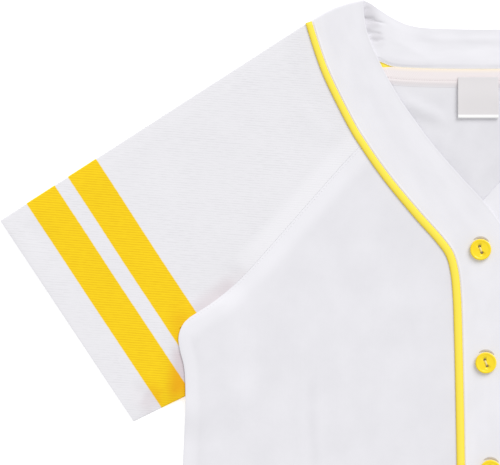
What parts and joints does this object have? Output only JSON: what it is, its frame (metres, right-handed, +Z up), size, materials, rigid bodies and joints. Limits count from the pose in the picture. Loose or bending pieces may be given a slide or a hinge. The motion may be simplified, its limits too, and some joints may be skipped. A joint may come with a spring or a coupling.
{
  "type": "baseball jersey",
  "caption": "Short-sleeved button-front jersey with a V neck, raglan sleeves with contrast stripes and braided front bands, laid flat on its back.",
  "frame": {"origin": "on the surface that the jersey lies on, under the middle of its outline", "axes": "+X from the viewer's left sleeve to the right one, +Y from the hem to the collar, +Z up from the surface"},
  "size_m": [0.8186, 0.69, 0.0076],
  "materials": {
    "body_cloth": "smooth matt polyester knit, white",
    "sleeve_cloth": "fine crosswise ribbed knit, white, with two woven-in yellow stripes",
    "band_cloth": "smooth interlined band, white",
    "tape_cloth": "soft seam tape, faintly pink white",
    "label_satin": "white satin, folded and left blank",
    "braid_yellow": "smooth yellow satin piping",
    "button_yellow": "glossy yellow polyester resin"
  },
  "bodies": {
    "root": {"back_panel": "body_cloth", "front_left": "body_cloth", "front_right": "body_cloth", "sleeve_left": "sleeve_cloth", "sleeve_right": "sleeve_cloth", "neck_band_left": "band_cloth", "neck_band_right": "band_cloth", "braid_left": "braid_yellow", "braid_right": "braid_yellow", "braid_back_neck": "braid_yellow", "neck_tape": "tape_cloth", "label": "label_satin", "button_1": "button_yellow", "button_2": "button_yellow", "button_3": "button_yellow", "button_4": "button_yellow", "button_5": "button_yellow"}
  },
  "joints": []
}
